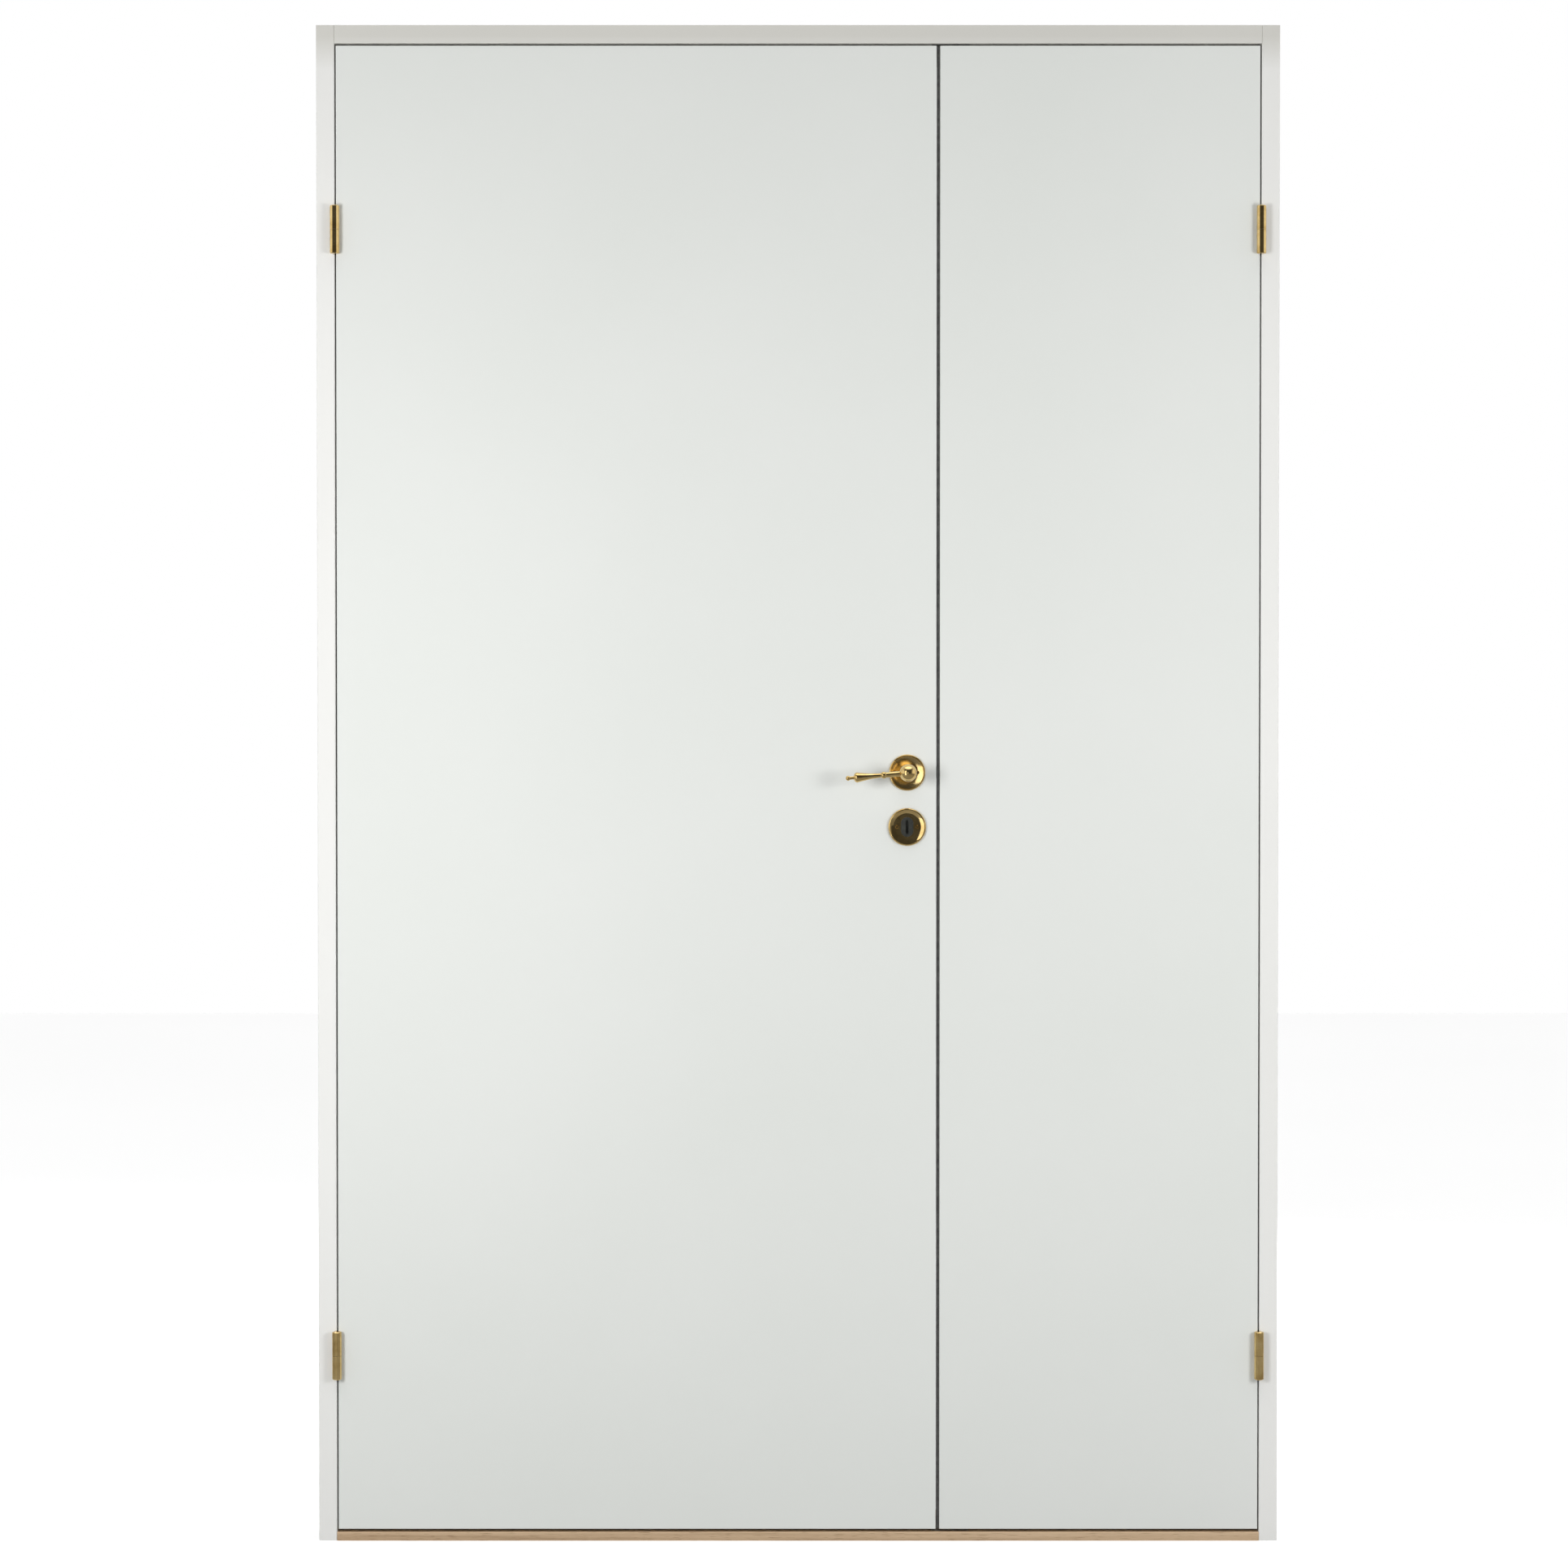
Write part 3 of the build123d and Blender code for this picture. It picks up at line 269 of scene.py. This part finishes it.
def shaded_top(tree, shader, colour, low, high, tone):
    """Multiply a finish's colour by a painted shade tone that grows in from one height to another."""
    level = add_node(tree, "ShaderNodeSeparateXYZ", Vector=place_on_door(tree)).outputs["Z"]
    share = ranged(tree, level, low, high, 0.0, 1.0)
    # painted shade: white below the first height, the shade tone above the second
    dust_and_shade = coloured(tree, share, (0.0, (1.0, 1.0, 1.0)), (1.0, tone))
    blend = tree.nodes.new("ShaderNodeMix")
    blend.data_type = "RGBA"
    blend.blend_type = "MULTIPLY"
    blend.inputs["Factor"].default_value = 1.0
    tree.links.new(colour, blend.inputs["A"])
    tree.links.new(dust_and_shade, blend.inputs["B"])
    tree.links.new(blend.outputs["Result"], shader.inputs["Base Color"])


leaf_paint = paint_finish(
    "leaf paint", light=(0.797, 0.815, 0.787), shade=(0.772, 0.795, 0.762),
    stipple=650.0, dullness=0.42, depth=0.00003,
)[0]
edge_paint = paint_finish(
    "edge paint", light=(0.79, 0.79, 0.765), shade=(0.755, 0.755, 0.73),
    stipple=420.0, dullness=0.48, depth=0.00006,
)[0]
frame_paint, tree, shader, colour = paint_finish(
    "frame paint", light=(0.865, 0.865, 0.84), shade=(0.835, 0.835, 0.81),
    stipple=520.0, dullness=0.40, depth=0.00005,
)
# Painted shade: the frame's colour darkens over the last centimetres below its top edge.
shade_starts = door_top - 0.06
shade_full = door_top - 0.015
top_shade_tone = (0.80, 0.79, 0.76)
shaded_top(tree, shader, colour, shade_starts, shade_full, top_shade_tone)
leaves = ("active", "passive")
dress(leaf_paint, *(f"{leaf}_{face}_skin" for leaf in leaves for face in ("front", "back")))
dress(frame_paint, "left_jamb", "right_jamb", "frame_head")
dress(edge_paint, *(f"{leaf}_leaf_frame" for leaf in leaves))

# %% [markdown]
# ## Oak threshold
# The threshold is a planed oak bar under clear lacquer. Oak reads as oak through three things at once:
# broad bands of light and dark along the board, fine fibre, and short dark pores. Each is noise stretched
# along X.

# %% Oak finish
band_waves = (1.1, 55.0, 70.0)
fibre_waves = (14.0, 620.0, 620.0)
pore_waves = (45.0, 1500.0, 1500.0)
pore_low, pore_high = 0.62, 0.72
pore_darkness = 0.35
band_share, fibre_share = 0.7, 0.3
oak_dark = (0.27, 0.165, 0.085)
oak_middle = (0.57, 0.41, 0.26)
oak_light = (0.72, 0.54, 0.36)
lacquer_smooth, lacquer_dull = 0.34, 0.46
grain_depth = 0.00012
oak, tree, shader = new_finish("lacquered oak")
spot = place_on_door(tree)
band = noise(tree, stretched(tree, spot, band_waves), 1.0, rough=0.55)
fibre = noise(tree, stretched(tree, spot, fibre_waves), 1.0, detail=4.0, rough=0.6)
pore = noise(tree, stretched(tree, spot, pore_waves), 1.0, detail=1.0)
pores = ranged(tree, pore, pore_low, pore_high, 0.0, pore_darkness)
bands = combined(tree, "MULTIPLY", band, band_share)
fibres = combined(tree, "MULTIPLY", fibre, fibre_share)
grain = combined(tree, "SUBTRACT", combined(tree, "ADD", bands, fibres), pores)
oak_colour = coloured(tree, grain, (0.2, oak_dark), (0.5, oak_middle), (0.75, oak_light))
feed(tree, shader, oak_colour, ranged(tree, fibre, usual_low, usual_high, lacquer_smooth, lacquer_dull))
relief(tree, shader, grain, grain_depth)
shader.inputs["Specular IOR Level"].default_value = 0.3
shader.inputs["Coat Weight"].default_value = 0.08
dress(oak, "threshold")

# %% [markdown]
# ## Polished brass
# Hinges, lever, roses and keyhole plates are turned brass with a high polish. Most of its look is what it
# mirrors, so the shader is plain metal with a low roughness. Old polish leaves faint lines and a browner
# tint where fingers and cloths don't reach, which the handled metal group provides.

# %% Brass finish
brass_brown = (0.56, 0.37, 0.13)
brass_middle = (0.74, 0.53, 0.22)
brass_bright = (0.82, 0.62, 0.29)
brass_scratch_depth = 0.000006
brass, tree, shader = new_finish("polished brass")
marks = placed(tree, handled_metal_group, place_on_door(tree), Dullness=0.05, Spread=0.08)
brass_stops = ((usual_low, brass_brown), (0.5, brass_middle), (usual_high, brass_bright))
brass_colour = coloured(tree, marks.outputs["Smear"], *brass_stops)
feed(tree, shader, brass_colour, marks.outputs["Gloss"])
relief(tree, shader, marks.outputs["Scratch"], brass_scratch_depth)
shader.inputs["Metallic"].default_value = 1.0
halves = [
    f"{leaf}_{level}_hinge_{carrier}_half"
    for leaf in leaves
    for level in ("top", "bottom")
    for carrier in ("leaf", "frame")
]
dress(brass, *halves, "frame_hinge_screws", "active_hinge_screws", "passive_hinge_screws")
dress(brass, "front_lever", "back_lever", "front_rose", "back_rose", "rose_screws")
dress(brass, "front_key_plate", "back_key_plate", "key_plate_screws")

# %% [markdown]
# ## Steel, rubber and the hidden core
# The lock's plates and the flush bolts are zinc-plated steel: grey, half bright, with drawn lines. The
# keyhole liners and what lies behind them are blued steel, which is nearly black. The seals are dark grey
# rubber with a dusty skin. The core is brown honeycomb board, which shows only if a leaf is cut.

# %% Steel finishes
def steel_finish(name, dark, light, dullness):
    """Steel between two greys by the group's Smear, with its scratches as relief."""
    scratch_depth = 0.00001
    finish, tree, shader = new_finish(name)
    marks = placed(tree, handled_metal_group, place_on_door(tree), Dullness=dullness, Spread=0.16)
    colour = coloured(tree, marks.outputs["Smear"], (usual_low, dark), (usual_high, light))
    feed(tree, shader, colour, marks.outputs["Gloss"])
    relief(tree, shader, marks.outputs["Scratch"], scratch_depth)
    shader.inputs["Metallic"].default_value = 1.0
    return finish


zinc_steel = steel_finish(
    "zinc plated steel", dark=(0.42, 0.42, 0.41), light=(0.60, 0.60, 0.58), dullness=0.3
)
blued_steel = steel_finish(
    "blued steel", dark=(0.10, 0.105, 0.095), light=(0.17, 0.175, 0.16), dullness=0.36
)
dress(
    blued_steel, "front_key_liner", "back_key_liner", "key_ward", "lock_case", "lock_cover", "lock_follower"
)
dress(
    zinc_steel, "lock_forend", "forend_screws", "handle_spindle", "lever_grub_screws", "latch_bolt",
    "dead_bolt", "strike_plate", "strike_screws", "top_flush_bolt_plate", "bottom_flush_bolt_plate",
    "flush_bolt_screws", "top_flush_bolt", "bottom_flush_bolt", "head_bolt_keep", "threshold_bolt_keep",
    "bolt_keep_screws", "hinge_pins", "frame_corner_screws",
)

# %% [markdown]
# Rubber and honeycomb board need no group of their own, because each is used once: rubber is a cloud of
# dust over dark grey, and the board's cells are the distance to the edge in a Voronoi pattern.

# %% Rubber and core finishes
rubber_dark = (0.10, 0.10, 0.098)
rubber_dusty = (0.19, 0.19, 0.186)
rubber_smooth, rubber_dull = 0.6, 0.8
dust_waves = 160.0
dust_depth = 0.00003
rubber, tree, shader = new_finish("seal rubber")
dust_and_shade = noise(tree, place_on_door(tree), dust_waves, detail=4.0, rough=0.6)
rubber_colour = coloured(tree, dust_and_shade, (0.35, rubber_dark), (0.75, rubber_dusty))
feed(tree, shader, rubber_colour, ranged(tree, dust_and_shade, usual_low, usual_high, rubber_smooth, rubber_dull))
relief(tree, shader, dust_and_shade, dust_depth)
dress(rubber, "left_stop_seal", "right_stop_seal", "head_stop_seal", "meeting_seal")

cells_per_metre = 70.0
wall_edge, cell_edge = 0.02, 0.09
wall_brown = (0.48, 0.36, 0.24)
cell_brown = (0.20, 0.14, 0.09)
core_board, tree, shader = new_finish("honeycomb board")
cell = add_node(tree, "ShaderNodeTexVoronoi", Vector=place_on_door(tree), Scale=cells_per_metre)
cell.feature = "DISTANCE_TO_EDGE"
walls = ranged(tree, cell.outputs["Distance"], wall_edge, cell_edge, 0.0, 1.0)
board_colour = coloured(tree, walls, (0.0, wall_brown), (1.0, cell_brown))
tree.links.new(board_colour, shader.inputs["Base Color"])
shader.inputs["Roughness"].default_value = 0.9
dress(core_board, "active_core", "passive_core")

# %% [markdown]
# ## Latch spring
# A strip of spring steel, bent to a U between the back wall of the lock case and the latch, pushes the
# latch out. When the lever turns, the latch comes back and the U closes. A rigid solid can't do that, so a
# thin strip carried along the same U takes the solid's place.

# %% Latch spring
def bent_strip(low, high, thickness, steps):
    """A strip along a U that fills a box: down one leg, round half a circle and up the other leg.

    Each section is a rectangle across that line: half the thickness to either side along the line's normal,
    and the whole depth of the box along Y. The two ends are closed by a face each.
    """
    radius = (high[0] - low[0] - thickness) / 2
    bend_x = (low[0] + high[0]) / 2
    bend_z = low[2] + thickness / 2 + radius
    turn = np.linspace(np.pi, 2 * np.pi, steps)
    turn = np.concatenate([turn[:1], turn, turn[-1:]])
    normal = np.stack([np.cos(turn), np.sin(turn)], axis=1)
    line = np.array([bend_x, bend_z]) + radius * normal
    line[[0, -1], 1] = high[2]
    aside = thickness / 2 * np.array([1, 1, -1, -1])
    section = line[:, None, :] + aside[None, :, None] * normal[:, None, :]
    depth = np.broadcast_to([low[1], high[1], high[1], low[1]], section.shape[:2])
    points = np.stack([section[..., 0], depth, section[..., 1]], axis=-1).reshape(-1, 3)
    ring = np.arange(len(points)).reshape(-1, 4)
    after = np.roll(ring, -1, axis=1)
    sides = np.stack([ring[:-1], after[:-1], after[1:], ring[1:]], axis=-1).reshape(-1, 4)
    faces = np.concatenate([sides, ring[:1, ::-1], ring[-1:]])
    return points, faces


strip_thickness = 0.0008
bend_steps = 25
spring_low, spring_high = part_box("latch_spring")
points, faces = bent_strip(spring_low, spring_high, strip_thickness, bend_steps)
spring_mesh = bpy.data.meshes.new("latch spring strip")
spring_mesh.from_pydata(points.tolist(), [], faces.tolist())
spring_mesh.materials.append(zinc_steel)
spring_strip = bpy.data.objects.new("latch_spring_strip", spring_mesh)
bpy.context.scene.collection.objects.link(spring_strip)
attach(spring_strip, "active_leaf")
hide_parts("latch_spring")
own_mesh(spring_strip)

# %% [markdown]
# ## Studio
# The photograph shows the closed door from straight in front, on white. The floor is a large pale sheet
# that is white to the camera and dark to everything else, so that it doesn't fill the brass with light from
# below.

# %% Floor
scene = bpy.context.scene
scene.view_settings.view_transform = "Standard"
black = (0.0, 0.0, 0.0)
white = (1.0, 1.0, 1.0)
floor_reach = 9.0
floor_dark, floor_pale = 0.2, 0.9
floor_glow = 0.24
cloud_waves = 0.7
cloud_share = 0.04
grid = np.linspace(-floor_reach, floor_reach, 2)
floor_x, floor_y = np.meshgrid(grid, grid, indexing="ij")
floor_points = np.stack([floor_x.ravel(), floor_y.ravel(), np.zeros(4)], axis=1)
floor_mesh = bpy.data.meshes.new("studio floor")
floor_mesh.from_pydata(floor_points.tolist(), [], [(0, 2, 3, 1)])
floor = bpy.data.objects.new("studio_floor", floor_mesh)
scene.collection.objects.link(floor)
pale, tree, shader = new_finish("pale floor")
to_camera = add_node(tree, "ShaderNodeLightPath").outputs["Is Camera Ray"]
cloud = combined(tree, "MULTIPLY", noise(tree, place_on_door(tree), cloud_waves), cloud_share)
brightness = combined(tree, "ADD", ranged(tree, to_camera, 0.0, 1.0, floor_dark, floor_pale), cloud)
tree.links.new(coloured(tree, brightness, (0.0, black), (1.0, white)), shader.inputs["Base Color"])
tree.links.new(coloured(tree, to_camera, (0.0, black), (1.0, white)), shader.inputs["Emission Color"])
shader.inputs["Emission Strength"].default_value = floor_glow
shader.inputs["Roughness"].default_value = 0.6
floor_mesh.materials.append(pale)
print(f"floor: {2 * floor_reach:.0f} m each way")

# %% [markdown]
# Polished brass looks pale and flat in an all-white room, because most of its look is what it mirrors. So
# the background is white only to the camera: reflections meet a dark room whose two sides and ceiling are
# bright, and each turned piece shows a dark middle between bright edges.

# %% World
room_level = 0.07
side_level = 1.0
ceiling_level = 2.0
side_starts, side_full = 0.42, 0.78
ceiling_starts, ceiling_full = 0.70, 0.92
world = bpy.data.worlds.new("studio")
scene.world = world
world.use_nodes = True
tree = world.node_tree
direction = add_node(tree, "ShaderNodeTexCoord").outputs["Generated"]
axes = add_node(tree, "ShaderNodeSeparateXYZ", Vector=direction).outputs
sideways = combined(tree, "MULTIPLY", axes["X"], axes["X"])
sides = ranged(tree, sideways, side_starts, side_full, room_level, side_level)
ceiling = ranged(tree, axes["Z"], ceiling_starts, ceiling_full, 0.0, ceiling_level)
room = combined(tree, "ADD", sides, ceiling)
soft_room = add_node(tree, "ShaderNodeBackground", Color=(*white, 1.0), Strength=room)
white_to_camera = add_node(tree, "ShaderNodeBackground", Color=(*white, 1.0), Strength=1.0)
choice = add_node(tree, "ShaderNodeMixShader")
tree.links.new(add_node(tree, "ShaderNodeLightPath").outputs["Is Camera Ray"], choice.inputs[0])
tree.links.new(soft_room.outputs["Background"], choice.inputs[1])
tree.links.new(white_to_camera.outputs["Background"], choice.inputs[2])
tree.links.new(choice.outputs["Shader"], tree.nodes["World Output"].inputs["Surface"])
print(f"room: {room_level} in front, {side_level} at the sides, {ceiling_level} above")

# %% [markdown]
# Three small soft boxes light the paint: two from the front, of which the left one is stronger, and one
# from behind. They are hidden from reflections so that they leave no spots on the brass. Two white cards do
# the reverse and show only as reflections: the far one as a bright crescent in the dish of the rose, the near
# one in the rim of the keyhole plate.

# %% Lamps
def lamp(name, place, aim, width, height, power, mirrored):
    """A rectangular lamp aimed from its place; a mirrored one shows only in reflections."""
    light = bpy.data.lights.new(name, "AREA")
    light.shape = "RECTANGLE"
    light.size = width
    light.size_y = height
    light.energy = power
    holder = bpy.data.objects.new(name, light)
    scene.collection.objects.link(holder)
    holder.location = place
    holder.visible_camera = False
    holder.visible_glossy = mirrored
    holder.visible_diffuse = not mirrored
    toward = Vector(aim) - Vector(place)
    holder.rotation_euler = toward.to_track_quat("-Z", "Y").to_euler()
    print(f"{name}: {power:.0f} W")


lamp(
    "left soft box", place=(-1.6, -2.3, 1.2), aim=(-0.3, 0.0, 1.1),
    width=0.7, height=0.9, power=38.0, mirrored=False,
)
lamp(
    "right soft box", place=(1.9, -2.0, 1.2), aim=(0.5, 0.0, 1.1),
    width=0.7, height=0.9, power=29.0, mirrored=False,
)
lamp(
    "back soft box", place=(0.8, 3.2, 1.35), aim=(0.0, 0.1, 1.1),
    width=0.9, height=0.9, power=45.0, mirrored=False,
)
lamp(
    "far card", place=(-0.40, -5.2, 1.10), aim=(0.15, 0.0, 1.06),
    width=0.6, height=1.0, power=4.0, mirrored=True,
)
lamp(
    "near card", place=(-0.70, -1.25, 1.10), aim=(0.15, 0.0, 1.0),
    width=0.55, height=1.5, power=4.0, mirrored=True,
)

# %% [markdown]
# ## Camera
# In the photograph the frame fills the height of a square picture almost exactly and its centre lies a
# little to the right of the picture's centre. The openings narrow slightly towards the floor, so the camera
# stands a little above the middle of the door and looks down by about a degree.

# %% Camera
photo_side = 1932
frame_top_px, frame_bottom_px = 31, 1899
frame_left_px, frame_right_px = 390.5, 1576
lift_px = 3
camera_distance = 5.0
sensor_mm = 36.0
tilt = math.radians(1.0)
metres_per_px = door_top / (frame_bottom_px - frame_top_px)
view_side = photo_side * metres_per_px
middle_px = (frame_left_px + frame_right_px) / 2
aim_x = (photo_side / 2 - middle_px) * metres_per_px
aim_z = door_top - (photo_side / 2 - frame_top_px - lift_px) * metres_per_px
camera_data = bpy.data.cameras.new("camera")
camera_data.sensor_width = sensor_mm
camera_data.lens = sensor_mm * camera_distance / view_side
camera = bpy.data.objects.new("camera", camera_data)
scene.collection.objects.link(camera)
camera.location = (aim_x, front_y - camera_distance, aim_z + camera_distance * math.tan(tilt))
camera.rotation_euler = (math.pi / 2 - tilt, 0.0, 0.0)
scene.camera = camera
print(f"camera {camera_distance:.1f} m in front, lens {camera_data.lens:.1f} mm")
